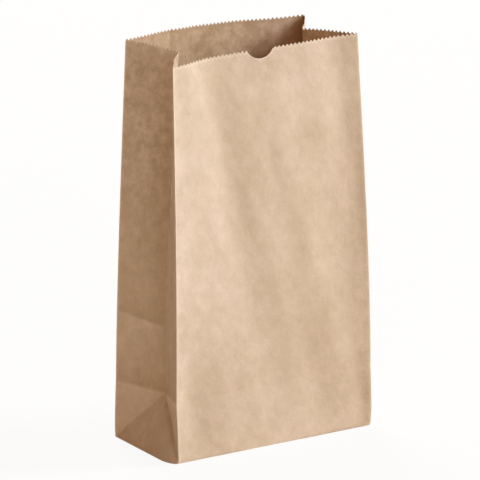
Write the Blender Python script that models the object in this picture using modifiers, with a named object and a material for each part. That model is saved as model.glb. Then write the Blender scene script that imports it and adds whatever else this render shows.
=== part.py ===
# Square-bottomed paper bag, standing open: one folded and glued sheet of kraft paper.
# Metres, +Z up. The origin is the middle of the base, on the surface it stands on.
# The notched front panel faces -Y.

import bisect
import math

import bmesh
import bpy
from mathutils import Matrix, Vector
from mathutils.geometry import delaunay_2d_cdt

# Sheet and cut sizes
SHEET = 0.00012  # one layer of paper
BAG_WIDTH = 0.1524  # front and back panels
BAG_DEPTH = 0.0921  # each side, gusset opened out
BAG_HEIGHT = 0.2794  # base to the tips of the teeth, along the sheet
CUT_RISE = 0.0062  # the top cut is out of square: it stands higher at the back left corner
CUT_REACH = 0.0900  # how far round the bag the cut takes to come level again
CUT_DROP = 0.0010  # and it is lower along the front
DROP_REACH = 0.0300  # run over which it drops, on each side
FOLD_HEIGHT = 0.0417  # where the flattened base folds up, and where the side triangles end

# Pinked mouth
TEETH_WIDE = 48  # on the front and on the back
TEETH_SIDE = 29  # on each side, the gusset crease on the middle one
TOOTH_DEPTH = 0.0016
NOTCH_WIDTH = 0.0205  # thumb notch, a segment of a circle cut from the front
NOTCH_DEPTH = 0.0069
NOTCH_OFFSET = -0.0007  # from the middle of the front panel

# Glued laps
SEAM_START = 8  # lengthwise seam in the back panel, in teeth from the left corner
SEAM_TEETH = 5
BASE_LAP = 0.0190  # overlap of the two base flaps
STEP_RUN = 0.0010  # run of the small ramp where a layer ends

# How the bag stands open
MOUTH_FRONT = 0.1509  # distance between the two front corners of the mouth
MOUTH_BACK = 0.1472
MOUTH_DEPTH = 0.0803
MOUTH_SHEAR = 0.0109  # back edge shifted to the right of the front edge
MOUTH_TWIST = math.radians(3.8)
MOUTH_X = 0.0104
MOUTH_Y = -0.0110
FRONT_LEAN = 0.0026  # at the fold the front corner creases lean in this far
BACK_LEAN = 0.0016  # and the back ones this far
FRONT_LEFT_BOW = 0.0006  # each corner crease bows sideways between base and mouth, + to the right
FRONT_RIGHT_BOW = 0.0040
BACK_LEFT_BOW = -0.0019
BACK_RIGHT_BOW = 0.0019
CREASE_DROP = 0.0015  # gusset crease below its corners at the mouth
LEFT_BULGE = 0.0050  # the side's bottom edge pushed out near the front corner
RIGHT_BULGE = 0.0012
BULGE_PLACE = 0.83  # where it is widest, from the back corner to the front
FRONT_DIP = 0.0084  # the mouth's front edge curves in by this
BACK_BOW = 0.0098  # and its back edge out by this
BACK_CREASE = 0.0012  # depth of the crease left across the back
BUCKLE_DEPTH = 0.0012  # soft valleys down the front panel, with a ridge between them
BUCKLE_WIDTH = 0.0140
BUCKLE_FOOT = 0.0600  # height where they begin
BUCKLE_RUN = 0.1000  # and over which they grow
LEFT_BUCKLE = 0.32  # where the left valley begins, as a share of the front from the left
LEFT_BUCKLE_SLANT = 0.12  # how far it has drifted left at the mouth
RIGHT_BUCKLE = 0.90
RIDGE_BUCKLE = 0.60

# Mesh steps
SIDE_CELLS = 6  # across half a side, and up to the fold
PANEL_CELLS = 24
ROWS_ABOVE = 12
RIM_BAND = 0.0060  # strip of the mouth that carries the teeth
MAX_LAYERS = 5

HALF_W = BAG_WIDTH / 2
HALF_D = BAG_DEPTH / 2
FLAP = HALF_D + BASE_LAP / 2
GIRTH = 2 * (BAG_WIDTH + BAG_DEPTH)


def clear_scene():
    for old in list(bpy.data.objects):
        bpy.data.objects.remove(old, do_unlink=True)


def collection(name):
    made = bpy.data.collections.new(name)
    bpy.context.scene.collection.children.link(made)
    return made


def kraft_material():
    mat = bpy.data.materials.new("kraft_paper")
    mat.use_nodes = True
    shader = mat.node_tree.nodes["Principled BSDF"]
    shader.inputs["Base Color"].default_value = (0.52, 0.36, 0.22, 1.0)
    shader.inputs["Roughness"].default_value = 0.78
    shader.inputs["Metallic"].default_value = 0.0
    mat.diffuse_color = (0.52, 0.36, 0.22, 1.0)
    return mat


# Corner creases. side is -1 on the left and 1 on the right, end is -1 at the front and 1 at the back.

def base_corner(side, end):
    return Vector((side * HALF_W, end * HALF_D, 0.0))


def cut_height(u):
    # The top cut's height along the sheet, at u round the bag from the front left corner.
    away = abs(u - corner_u(-1, 1)) / CUT_REACH
    rise = CUT_RISE * math.cos(math.pi * away / 2) ** 2 if away < 1.0 else 0.0
    from_front = max(min(u, GIRTH - u, abs(u - BAG_WIDTH)) if u > BAG_WIDTH else 0.0, 0.0)
    drop = CUT_DROP * max(1.0 - from_front / DROP_REACH, 0.0)
    return BAG_HEIGHT + rise - drop


def corner_u(side, end):
    if end < 0:
        return 0.0 if side < 0 else BAG_WIDTH
    return BAG_WIDTH + BAG_DEPTH if side > 0 else 2 * BAG_WIDTH + BAG_DEPTH


def mouth_corner(side, end):
    width = MOUTH_FRONT if end < 0 else MOUTH_BACK
    local = Vector((side * width / 2 + end * MOUTH_SHEAR / 2, end * MOUTH_DEPTH / 2, 0.0))
    place = Matrix.Rotation(MOUTH_TWIST, 3, "Z") @ local + Vector((MOUTH_X, MOUTH_Y, 0.0))
    lean = place - base_corner(side, end)
    height = cut_height(corner_u(side, end))
    place.z = math.sqrt(height ** 2 - lean.x ** 2 - lean.y ** 2)
    return place


def crease_lean(share):
    # Most at the fold, then gone, with a slight lean the other way before the mouth.
    knee = FOLD_HEIGHT / BAG_HEIGHT
    if share < knee:
        return share / knee
    rest = min((share - knee) / (1.0 - knee), 1.0)
    return (1.0 - rest) ** 3 - 0.1 * math.sin(math.pi * rest)


def crease_bow(side, end):
    if end < 0:
        return FRONT_LEFT_BOW if side < 0 else FRONT_RIGHT_BOW
    return BACK_LEFT_BOW if side < 0 else BACK_RIGHT_BOW


def corner_crease(side, end, height):
    share = height / cut_height(corner_u(side, end))
    point = base_corner(side, end).lerp(mouth_corner(side, end), share)
    lean = FRONT_LEAN if end < 0 else -BACK_LEAN
    bow = crease_bow(side, end) * math.sin(math.pi * math.sqrt(min(max(share, 0.0), 1.0)))
    return point + Vector((bow, lean * crease_lean(share), 0.0))


# The gusset crease keeps half a side's width of paper to each of its two corner creases.

def pushed_in(side, height):
    front = corner_crease(side, -1, height)
    back = corner_crease(side, 1, height)
    across = back - front
    inward = Vector((-side * across.y, side * across.x, 0.0)).normalized()
    push = math.sqrt(max(HALF_D ** 2 - across.length_squared / 4, 0.0))
    return (front + back) / 2 + inward * push


def apex(side):
    # Top of the side's bottom triangle, which turns inwards about the base edge.
    point = pushed_in(side, FOLD_HEIGHT)
    inset = HALF_W - abs(point.x)
    point.z = math.sqrt(FOLD_HEIGHT ** 2 - inset ** 2)
    return point


def gusset_crease(side, height):
    point = pushed_in(side, height)
    share = (height - FOLD_HEIGHT) / (BAG_HEIGHT - FOLD_HEIGHT)
    at_apex = pushed_in(side, FOLD_HEIGHT).z - apex(side).z
    point.z -= at_apex + (CREASE_DROP - at_apex) * share
    return point


def bulge(side, place):
    # Outward push of the side's bottom edge, from the back corner (0) to the front (1).
    push = LEFT_BULGE if side < 0 else RIGHT_BULGE
    if place < BULGE_PLACE:
        return push * place / BULGE_PLACE
    rest = (place - BULGE_PLACE) / (1.0 - BULGE_PLACE)
    return push * math.sqrt(max(1.0 - rest * rest, 0.0))


def side_point(side, end, across, height):
    # across runs from the corner crease (0) to the gusset crease (1).
    edge = corner_crease(side, end, height)
    if height >= FOLD_HEIGHT:
        return edge.lerp(gusset_crease(side, height), across)
    foot = base_corner(side, end)
    top = apex(side)
    rise = height / FOLD_HEIGHT
    fold = foot.lerp(top, rise)
    if across <= rise:
        return edge.lerp(fold, across / rise) if rise > 0 else edge
    inner = (across - rise) / (1.0 - rise)
    middle = Vector((side * HALF_W, 0.0, 0.0)).lerp(top, rise)
    point = fold.lerp(middle, inner)
    place = inner / 2 if end > 0 else 1.0 - inner / 2
    point.x += side * bulge(side, place) * (1.0 - rise)
    return point


# The wide panels bend about upright lines, more and more towards the mouth.

def buckles(across, height):
    # Depth of the soft valleys in the front panel, less the ridge between them.
    def fold(place, share=1.0):
        return share * math.exp(-((across - place) * BAG_WIDTH / BUCKLE_WIDTH) ** 2)

    grown = min(max((height - BUCKLE_FOOT) / BUCKLE_RUN, 0.0), 1.0)
    left = LEFT_BUCKLE - LEFT_BUCKLE_SLANT * (height / BAG_HEIGHT) ** 4
    depth = fold(left) + fold(RIGHT_BUCKLE, 0.8) - fold(RIDGE_BUCKLE, 0.6)
    return BUCKLE_DEPTH * grown * grown * (3.0 - 2.0 * grown) * depth * min(12.0 * (1.0 - across), 1.0)


def front_point(across, height):
    point = corner_crease(-1, -1, height).lerp(corner_crease(1, -1, height), across)
    turn = math.pi * across
    wave = math.sin(turn) + 0.18 * math.sin(2 * turn) + 0.10 * math.sin(3 * turn)
    point.y += FRONT_DIP * wave * (height / BAG_HEIGHT) ** 1.3 + buckles(across, height)
    return point


def back_point(across, height):
    # across runs from the right corner to the left one.
    point = corner_crease(1, 1, height).lerp(corner_crease(-1, 1, height), across)
    turn = math.pi * across
    point.y += BACK_BOW * (math.sin(turn) + 0.2 * math.sin(2 * turn)) * (height / BAG_HEIGHT) ** 1.3
    tent = min(height / FOLD_HEIGHT, max(2.0 - height / FOLD_HEIGHT, 0.0))
    point.y -= BACK_CREASE * tent * math.sin(turn)
    return point


def sheet_point(panel, across, height):
    if panel == "front":
        return front_point(across, height)
    if panel == "back":
        return back_point(across, height) + Vector((0.0, seam_lift(across), 0.0))
    side, first = (1, -1) if panel == "right" else (-1, 1)
    if across <= 0.5:
        return side_point(side, first, 2 * across, height)
    return side_point(side, -first, 2 * (1.0 - across), height)


# Lengthwise seam: the outer layer lies one sheet proud, and eases back to the panel's line.

def seam_limits():
    left = 1.0 - SEAM_START / TEETH_WIDE
    return left - SEAM_TEETH / TEETH_WIDE, left


def seam_lift(across):
    inner, outer = seam_limits()
    if across > outer - STEP_RUN / BAG_WIDTH / 2:
        return 0.0
    return SHEET * min(1.0, across / inner)


def wall_layers(panel, across):
    inner, outer = seam_limits()
    half = STEP_RUN / BAG_WIDTH / 2
    return 2 if panel == "back" and inner - half < across < outer - half else 1


def wall_columns():
    # The upright lines of the mesh, in order round the bag.
    columns = [("front", i / PANEL_CELLS) for i in range(PANEL_CELLS)]
    cells = 2 * SIDE_CELLS
    columns += [("right", i / cells) for i in range(cells)]
    inner, outer = seam_limits()
    ramp = STEP_RUN / BAG_WIDTH
    marks = {inner - ramp, inner, outer - ramp, outer}
    for i in range(PANEL_CELLS):
        place = i / PANEL_CELLS
        if all(abs(place - mark) > 0.25 / PANEL_CELLS for mark in marks):
            marks.add(place)
    columns += [("back", place) for place in sorted(marks)]
    columns += [("left", i / cells) for i in range(cells)]
    return columns


def wall_rows():
    below = [FOLD_HEIGHT * i / SIDE_CELLS for i in range(SIDE_CELLS)]
    top = BAG_HEIGHT - RIM_BAND
    rise = (top - FOLD_HEIGHT) / ROWS_ABOVE
    return below + [FOLD_HEIGHT + rise * i for i in range(ROWS_ABOVE + 1)]


def column_u(column):
    panel, across = column
    start = {"front": 0.0, "right": BAG_WIDTH, "back": BAG_WIDTH + BAG_DEPTH,
             "left": 2 * BAG_WIDTH + BAG_DEPTH}[panel]
    width = BAG_WIDTH if panel in ("front", "back") else BAG_DEPTH
    return start + width * across


def pinked_teeth():
    # Each tooth as the places of its root and its tip, in order round the bag. The middle tooth
    # of a side has the gusset crease down its middle, so its root bends there.
    teeth = []
    for panel, count in (("front", TEETH_WIDE), ("right", TEETH_SIDE),
                         ("back", TEETH_WIDE), ("left", TEETH_SIDE)):
        for tooth in range(count):
            root = [tooth / count]
            if panel in ("left", "right") and 2 * tooth + 1 == count:
                root.append(0.5)
            tip = (tooth + 0.5) / count
            teeth.append(([column_u((panel, place)) for place in root], column_u((panel, tip))))
    return teeth


# Base: side flaps inside, the front flap over them and the back flap outermost.

def ramp(distance):
    return min(max(distance / STEP_RUN + 0.5, 0.0), 1.0)


def base_relief(x, y):
    # Outer level and thickness of the glued base at a point, both in layers of paper.
    lap = BASE_LAP / 2
    to_side = HALF_W - abs(x)
    front = ramp(min(lap - y, to_side - (y + HALF_D)))
    back = ramp(min(y + lap, to_side - (HALF_D - y)))
    ends = ramp(FLAP - to_side)
    tucked = min(max((y + HALF_D) / (HALF_D - lap), 0.0), 1.0)
    level = (1.0 - back) * (front * tucked + (1.0 - front) * 2.0)
    thickness = ends + (front + back) * (1.0 + ends)
    return level, max(thickness, 1.0)


def base_lines(outline):
    # Ring just inside the outline, and both lips of each step.
    points = []
    edges = []
    count = len(outline)
    for i, here in enumerate(outline):
        along = (outline[(i + 1) % count] - outline[i - 1]).normalized()
        points.append(here + Vector((-along.y, along.x)) * STEP_RUN)
        edges.append((i, (i + 1) % count))
    lap = BASE_LAP / 2
    lip = STEP_RUN / 2
    clear = 2.5 * STEP_RUN

    def line(start, finish):
        edges.append((len(points), len(points) + 1))
        points.extend((Vector(start), Vector(finish)))

    for offset in (-lip, lip):
        for side in (-1, 1):
            x = side * (HALF_W - FLAP + offset)
            line((x, clear - HALF_D), (x, HALF_D - clear))
            shift = offset * math.sqrt(2.0)
            reach = HALF_D - lap
            line((side * (HALF_W - clear - shift), clear - HALF_D), (side * (HALF_W - reach - shift), -lap))
            line((side * (HALF_W - clear - shift), HALF_D - clear), (side * (HALF_W - FLAP - shift), -lap))
            line((side * (HALF_W - reach - shift), -lap), (side * (HALF_W - FLAP - shift), lap))
        limit = HALF_W - HALF_D + lap
        line((-limit, offset - lap), (limit, offset - lap))
        line((-limit, offset + lap), (limit, offset + lap))
    return points, edges


def add_base(bm, layer, ring):
    outline = [Vector((vert.co.x, vert.co.y)) for vert in ring]
    count = len(outline)
    inner, inner_edges = base_lines(outline)
    points = outline + inner
    edges = [(i, (i + 1) % count) for i in range(count)]
    edges += [(a + count, b + count) for a, b in inner_edges]
    flat, _, faces, sources, _, _ = delaunay_2d_cdt(points, edges, [], 1, 1e-7)
    verts = []
    for place, source in zip(flat, sources):
        rim = [i for i in source if i < count]
        if rim:
            verts.append(ring[rim[0]])
            continue
        level, thickness = base_relief(place.x, place.y)
        vert = bm.verts.new((place.x, place.y, level * SHEET))
        vert[layer][0] = thickness / MAX_LAYERS
        verts.append(vert)
    for face in faces:
        bm.faces.new([verts[i] for i in reversed(face)])


def add_walls(bm, layer):
    columns = wall_columns()
    grid = []
    for height in wall_rows():
        row = []
        for panel, across in columns:
            vert = bm.verts.new(sheet_point(panel, across, height))
            vert[layer][0] = wall_layers(panel, across) / MAX_LAYERS
            row.append(vert)
        grid.append(row)
    count = len(columns)
    for j in range(len(grid) - 1):
        for i, (panel, across) in enumerate(columns):
            after = (i + 1) % count
            low, high = grid[j], grid[j + 1]
            # The cells' diagonals follow the folds that rise from the base corners.
            rising = panel in ("left", "right") and across < 0.5
            if rising:
                bm.faces.new((low[i], low[after], high[after]))
                bm.faces.new((low[i], high[after], high[i]))
            else:
                bm.faces.new((low[i], low[after], high[i]))
                bm.faces.new((low[after], high[after], high[i]))
    return columns, grid


def add_teeth(bm, layer, columns, row):
    # Zips the top row of the grid to the roots of the teeth, then stands the teeth on it. All of
    # them stay in the plane of their cell.
    starts = [column_u(column) for column in columns]

    def rim_vert(u, below):
        height = cut_height(u) - below
        cell = bisect.bisect_right(starts, u + 1e-9) - 1
        after = (cell + 1) % len(columns)
        finish = starts[after] if after else GIRTH
        share = (u - starts[cell]) / (finish - starts[cell])
        here = sheet_point(*columns[cell], height)
        vert = bm.verts.new(here.lerp(sheet_point(*columns[after], height), share))
        layers = wall_layers(*columns[cell]) * (1.0 - share) + wall_layers(*columns[after]) * share
        vert[layer][0] = layers / MAX_LAYERS
        return vert

    teeth = pinked_teeth()
    roots = []
    for root, _ in teeth:
        roots += [(u, rim_vert(u, TOOTH_DEPTH)) for u in root]
    i = j = 0
    while i < len(row) or j < len(roots):
        low, high = row[i % len(row)], roots[j % len(roots)][1]
        next_low = starts[i + 1] if i + 1 < len(row) else GIRTH
        next_high = roots[j + 1][0] if j + 1 < len(roots) else GIRTH
        if j < len(roots) and (i >= len(row) or next_high <= next_low + 1e-9):
            bm.faces.new((low, roots[(j + 1) % len(roots)][1], high))
            j += 1
        else:
            bm.faces.new((low, row[(i + 1) % len(row)], high))
            i += 1
    place = 0
    for root, tip_u in teeth:
        tip = rim_vert(tip_u, 0.0)
        for _ in root:
            bm.faces.new((roots[place][1], roots[(place + 1) % len(roots)][1], tip))
            place += 1


def bag_mesh():
    bm = bmesh.new()
    layer = bm.verts.layers.deform.verify()
    columns, grid = add_walls(bm, layer)
    add_teeth(bm, layer, columns, grid[-1])
    add_base(bm, layer, grid[0])
    mesh = bpy.data.meshes.new("paper_bag")
    bm.to_mesh(mesh)
    bm.free()
    return mesh


def notch_cutter(home):
    radius = (NOTCH_WIDTH ** 2 / 4 + NOTCH_DEPTH ** 2) / (2 * NOTCH_DEPTH)
    across = 0.5 + NOTCH_OFFSET / BAG_WIDTH
    edge = front_point(across, cut_height(BAG_WIDTH * across))
    bm = bmesh.new()
    bmesh.ops.create_cone(bm, cap_ends=True, segments=48, radius1=radius, radius2=radius,
                          depth=HALF_D)
    mesh = bpy.data.meshes.new("thumb_notch_cutter")
    bm.to_mesh(mesh)
    bm.free()
    cutter = bpy.data.objects.new("thumb_notch_cutter", mesh)
    cutter.location = edge + Vector((0.0, 0.0, radius - NOTCH_DEPTH))
    cutter.rotation_euler = (math.radians(90), 0.0, MOUTH_TWIST)
    cutter.hide_render = True
    cutter.display_type = "WIRE"
    home.objects.link(cutter)
    return cutter


def build():
    clear_scene()
    parts = collection("square_bottomed_paper_bag")
    cutters = collection("cutters")
    bag = bpy.data.objects.new("paper_bag", bag_mesh())
    bag.data.materials.append(kraft_material())
    bag.vertex_groups.new(name="layers")
    parts.objects.link(bag)

    shell = bag.modifiers.new("paper_thickness", "SOLIDIFY")
    shell.thickness = SHEET * MAX_LAYERS
    shell.offset = -1.0
    shell.use_even_offset = True
    shell.vertex_group = "layers"
    shell.thickness_vertex_group = 0.0

    notch = bag.modifiers.new("thumb_notch", "BOOLEAN")
    notch.operation = "DIFFERENCE"
    notch.solver = "EXACT"
    notch.object = notch_cutter(cutters)


build()
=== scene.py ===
import math

import bpy
import numpy as np
from mathutils import Matrix


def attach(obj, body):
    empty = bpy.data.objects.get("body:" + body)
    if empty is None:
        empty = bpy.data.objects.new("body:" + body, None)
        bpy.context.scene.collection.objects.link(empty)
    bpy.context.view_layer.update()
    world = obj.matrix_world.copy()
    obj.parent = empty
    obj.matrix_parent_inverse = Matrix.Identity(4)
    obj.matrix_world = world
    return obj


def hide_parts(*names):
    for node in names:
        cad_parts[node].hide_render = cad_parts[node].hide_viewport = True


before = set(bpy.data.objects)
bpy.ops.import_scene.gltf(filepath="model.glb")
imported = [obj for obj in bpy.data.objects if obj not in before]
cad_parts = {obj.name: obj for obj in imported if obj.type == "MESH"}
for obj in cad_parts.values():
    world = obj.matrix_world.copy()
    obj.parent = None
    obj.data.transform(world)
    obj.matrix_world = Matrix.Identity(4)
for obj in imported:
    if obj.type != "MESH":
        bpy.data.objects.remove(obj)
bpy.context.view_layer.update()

# Square-bottomed kraft paper bag, standing open. Metres, the front panel faces -Y.
# u runs round the bag along the sheet from the front left corner, v runs up the sheet from the base.

homeCollection = bpy.context.scene.collection

bag = {
    "sheet": 0.00012,          # one layer of paper
    "width": 0.1524,
    "depth": 0.0921,
    "height": 0.2794,
    "cutRise": 0.0062,         # the cut stands higher at the back left corner
    "cutReach": 0.0900,
    "cutDrop": 0.0010,         # and lower along the front
    "dropReach": 0.0300,
    "backRise": 0.0036,        # the back stands higher between its corners
    "backRiseRun": 0.1430,
    "rightRise": 0.0010,
    "fold": 0.0417,            # height of the fold across the sides and the back
    "mouthFront": 0.1509,
    "mouthBack": 0.1472,
    "mouthDepth": 0.0803,
    "mouthShear": 0.0109,
    "mouthTwist": math.radians(3.8),
    "mouthX": 0.0104,
    "mouthY": -0.0110,
    "frontLean": 0.0026,
    "backLean": 0.0016,
    "swingBack": 0.1,          # share of a lean that is taken back again above the fold
    "creaseBow": {(-1, -1): 0.0006, (1, -1): 0.0040, (-1, 1): -0.0019, (1, 1): 0.0019},
    "creaseDrop": 0.0015,
    "creaseEase": {-1: 0.0014, 1: 0.0008},     # the gusset creases stand this much further in at the mouth
    "sideBow": {(1, 1): 0.0020, (-1, -1): 0.0012},     # and these halves of the sides bow outwards there
    "sideBowFoot": 0.20,
    "sideBowRun": 0.07,
    "bulge": {-1: 0.0050, 1: 0.0012},
    "bulgePlace": 0.83,
    "frontDip": 0.0084,
    "frontWaves": (0.18, 0.10),        # second and third wave across the front, as shares of the dip
    "backBow": 0.0098,
    "backWave": 0.2,
    "growth": 1.3,             # power of the height that the dip and the bow grow with
    "backCrease": 0.0012,
    "buckleDepth": 0.0012,     # soft valleys down the front, with a ridge between them
    "buckleWidth": 0.0140,
    "buckleFoot": 0.0600,
    "buckleRun": 0.1000,
    "leftBuckle": 0.32,
    "leftSlant": 0.12,
    "rightBuckle": 0.90,
    "rightShare": 0.8,         # depths of the right valley and of the ridge, as shares of the left one
    "ridgeBuckle": 0.60,
    "ridgeShare": 0.6,
    "buckleFade": 12,          # how fast the valleys end at the right crease
}
halfW, halfD = bag["width"] / 2, bag["depth"] / 2

# Along u: where the right side, the back and the left side start, and the gusset creases of the sides.
rightU, backU, leftU = bag["width"], bag["width"] + bag["depth"], 2 * bag["width"] + bag["depth"]
rightGussetU, leftGussetU = bag["width"] + halfD, 2 * bag["width"] + 1.5 * bag["depth"]
girth = 2 * (bag["width"] + bag["depth"])
cornerU = {(-1, -1): 0.0, (1, -1): rightU, (1, 1): backU, (-1, 1): leftU}
creaseU = [0.0, rightU, rightGussetU, backU, leftU, leftGussetU, girth]


def lerp(a, b, share):
    return a + (b - a) * np.asarray(share)[..., None]


def smoothStep(x):
    x = np.clip(x, 0.0, 1.0)
    return x * x * (3 - 2 * x)


# A bell: 1 where the distance is 0, and 1/e at the reach.
def bell(distance, reach):
    return np.exp(-(distance / reach) ** 2)


# Whether a place lies on one of the two sides.
def onSides(across):
    return ((across > rightU) & (across < backU)) | (across > leftU)


# Whether a place lies on the back or on the back half of a side.
def onRear(across):
    return (across > rightGussetU) & (across < leftGussetU)


# Height of the top cut: level, plus a cosine-squared hump round the back left corner, a sine-squared
# one along the back and a low one over the right side, less a drop along the front.
def cutHeight(u):
    u = np.asarray(u, float)
    away = np.abs(u - leftU) / bag["cutReach"]
    rise = bag["cutRise"] * np.cos(np.pi * np.minimum(away, 1.0) / 2) ** 2
    along = np.clip((leftU - u) / bag["backRiseRun"], 0.0, 1.0)
    rise = rise + bag["backRise"] * np.sin(np.pi * along) ** 2
    onRight = np.clip((u - rightU) / bag["depth"], 0.0, 1.0)
    rise = rise + bag["rightRise"] * np.sin(np.pi * onRight)
    fromFront = np.where(u > rightU, np.minimum(girth - u, u - rightU), 0.0)
    return bag["height"] + rise - bag["cutDrop"] * np.clip(1 - fromFront / bag["dropReach"], 0.0, 1.0)


# Corner of the mouth: a sheared, turned rectangle, as high as the sheet's length lets it stand.
def mouthCorner(side, end):
    width = bag["mouthFront"] if end < 0 else bag["mouthBack"]
    x = side * width / 2 + end * bag["mouthShear"] / 2
    y = end * bag["mouthDepth"] / 2
    c, s = math.cos(bag["mouthTwist"]), math.sin(bag["mouthTwist"])
    place = np.array([c * x - s * y + bag["mouthX"], s * x + c * y + bag["mouthY"]])
    lean = place - np.array([side * halfW, end * halfD])
    length = float(cutHeight(cornerU[(side, end)]))
    return np.array([place[0], place[1], math.sqrt(length ** 2 - lean @ lean)])


# Corner crease: straight from base to mouth, plus a lean that is most at the fold and dies away
# above it, and a sideways bow.
def cornerCrease(side, end, v):
    share = v / float(cutHeight(cornerU[(side, end)]))
    knee = bag["fold"] / bag["height"]
    rest = np.clip((share - knee) / (1 - knee), 0.0, 1.0)
    lean = np.where(share < knee, share / knee, (1 - rest) ** 3 - bag["swingBack"] * np.sin(np.pi * rest))
    foot = np.array([side * halfW, end * halfD, 0.0])
    point = lerp(foot, mouthCorner(side, end), share)
    point[..., 0] += bag["creaseBow"][(side, end)] * np.sin(np.pi * np.sqrt(np.clip(share, 0.0, 1.0)))
    point[..., 1] += (bag["frontLean"] if end < 0 else -bag["backLean"]) * lean
    return point


# Gusset crease: half a side's width from both corner creases, pushed in between them.
def pushedIn(side, v):
    front, back = cornerCrease(side, -1, v), cornerCrease(side, 1, v)
    across = back - front
    inward = np.stack([-side * across[..., 1], side * across[..., 0], np.zeros(across.shape[:-1])], -1)
    inward /= np.linalg.norm(inward, axis=-1, keepdims=True)
    push = np.sqrt(np.maximum(halfD ** 2 - (across ** 2).sum(-1) / 4, 0.0))
    return (front + back) / 2 + inward * push[..., None]


def apex(side):
    point = pushedIn(side, np.array(bag["fold"]))
    point[2] = math.sqrt(bag["fold"] ** 2 - (halfW - abs(point[0])) ** 2)
    return point


def gussetCrease(side, v):
    point = pushedIn(side, v)
    share = (v - bag["fold"]) / (bag["height"] - bag["fold"])
    atApex = pushedIn(side, np.array(bag["fold"]))[2] - apex(side)[2]
    point[..., 2] -= atApex + (bag["creaseDrop"] - atApex) * share
    point[..., 0] -= side * bag["creaseEase"][side] * np.clip(share, 0.0, None) ** 3
    return point


# Outward push of a side's bottom edge, from the back corner (0) to the front one (1).
def sideBulge(side, place):
    rest = np.clip((place - bag["bulgePlace"]) / (1 - bag["bulgePlace"]), 0.0, 1.0)
    rising = place / bag["bulgePlace"]
    return bag["bulge"][side] * np.where(place < bag["bulgePlace"], rising, np.sqrt(1 - rest ** 2))


# Half a side, from the corner crease (0) to the gusset crease (1). Under the fold the diagonal
# from the base corner to the apex parts the upright panel from the bottom triangle.
def sidePoint(side, end, across, v):
    edge = cornerCrease(side, end, v)
    upper = lerp(edge, gussetCrease(side, v), across)
    bow = bag["sideBow"].get((side, end), 0.0)
    grown = smoothStep((v - bag["sideBowFoot"]) / bag["sideBowRun"])
    upper[..., 0] += side * bow * np.sin(np.pi * across) * grown
    rise = np.clip(v / bag["fold"], 0.0, 1.0)
    top = apex(side)
    diagonal = lerp(np.array([side * halfW, end * halfD, 0.0]), top, rise)
    outer = lerp(edge, diagonal, np.clip(across / np.maximum(rise, 1e-6), 0.0, 1.0))
    inner = np.clip((across - rise) / np.maximum(1 - rise, 1e-6), 0.0, 1.0)
    triangle = lerp(diagonal, lerp(np.array([side * halfW, 0.0, 0.0]), top, rise), inner)
    place = inner / 2 if end > 0 else 1 - inner / 2
    triangle[..., 0] += side * sideBulge(side, place) * (1 - rise)
    lower = np.where((across <= rise)[..., None], outer, triangle)
    return np.where((v >= bag["fold"])[..., None], upper, lower)


# Soft buckles of the front panel: two bell-shaped valleys less the ridge between them.
def frontBuckles(across, v):
    def valley(place, share):
        return share * bell((across - place) * bag["width"], bag["buckleWidth"])
    grown = smoothStep((v - bag["buckleFoot"]) / bag["buckleRun"])
    left = bag["leftBuckle"] - bag["leftSlant"] * (v / bag["height"]) ** 4
    depth = valley(left, 1.0) + valley(bag["rightBuckle"], bag["rightShare"])
    depth = depth - valley(bag["ridgeBuckle"], bag["ridgeShare"])
    return bag["buckleDepth"] * grown * depth * np.minimum(bag["buckleFade"] * (1 - across), 1.0)


# Wide panels: straight between the corner creases, bent by a few sine waves that grow with height.
def frontPoint(across, v):
    point = lerp(cornerCrease(-1, -1, v), cornerCrease(1, -1, v), across)
    turn = np.pi * across
    second, third = bag["frontWaves"]
    wave = np.sin(turn) + second * np.sin(2 * turn) + third * np.sin(3 * turn)
    point[..., 1] += bag["frontDip"] * wave * np.clip(v / bag["height"], 0.0, None) ** bag["growth"]
    point[..., 1] += frontBuckles(across, v)
    return point


def backPoint(across, v):
    point = lerp(cornerCrease(1, 1, v), cornerCrease(-1, 1, v), across)
    turn = np.pi * across
    bow = np.sin(turn) + bag["backWave"] * np.sin(2 * turn)
    point[..., 1] += bag["backBow"] * bow * np.clip(v / bag["height"], 0.0, None) ** bag["growth"]
    tent = np.clip(np.minimum(v / bag["fold"], 2 - v / bag["fold"]), 0.0, None)
    point[..., 1] -= bag["backCrease"] * tent * np.sin(turn)
    return point


# The folded sheet at any place: the panel is picked by u.
def foldedSheet(u, v):
    u = np.mod(u, girth)
    point = np.empty(u.shape + (3,))
    onFront = u < rightU
    onBack = (u >= backU) & (u < leftU)
    point[onFront] = frontPoint(u[onFront] / bag["width"], v[onFront])
    point[onBack] = backPoint((u[onBack] - backU) / bag["width"], v[onBack])
    for side, mask, start in ((1, (u >= rightU) & (u < backU), rightU), (-1, u >= leftU, leftU)):
        across = (u - start) / bag["depth"]
        first = mask & (across <= 0.5)
        second = mask & (across > 0.5)
        point[first] = sidePoint(side, -side, 2 * across[first], v[first])
        point[second] = sidePoint(side, side, 2 * (1 - across[second]), v[second])
    return point


# Distance along the sheet to the nearest upright crease.
def creaseDistance(u):
    return np.min([np.abs(np.mod(u, girth) - place) for place in creaseU], axis=0)


# Sum of cosine waves in seeded directions, about 1 high, stretched upright by the given factor.
def softWaves(u, v, length, stretch, seed, count=14):
    rng = np.random.default_rng(seed)
    total = np.zeros(np.shape(u))
    for angle, scale, phase in zip(rng.uniform(0, np.pi, count), rng.uniform(0.6, 1.6, count),
                                   rng.uniform(0, 2 * np.pi, count)):
        k = 2 * np.pi / (length * scale)
        total += np.cos(k * (np.cos(angle) * u + np.sin(angle) * v / stretch) + phase)
    return total / math.sqrt(count)


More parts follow.
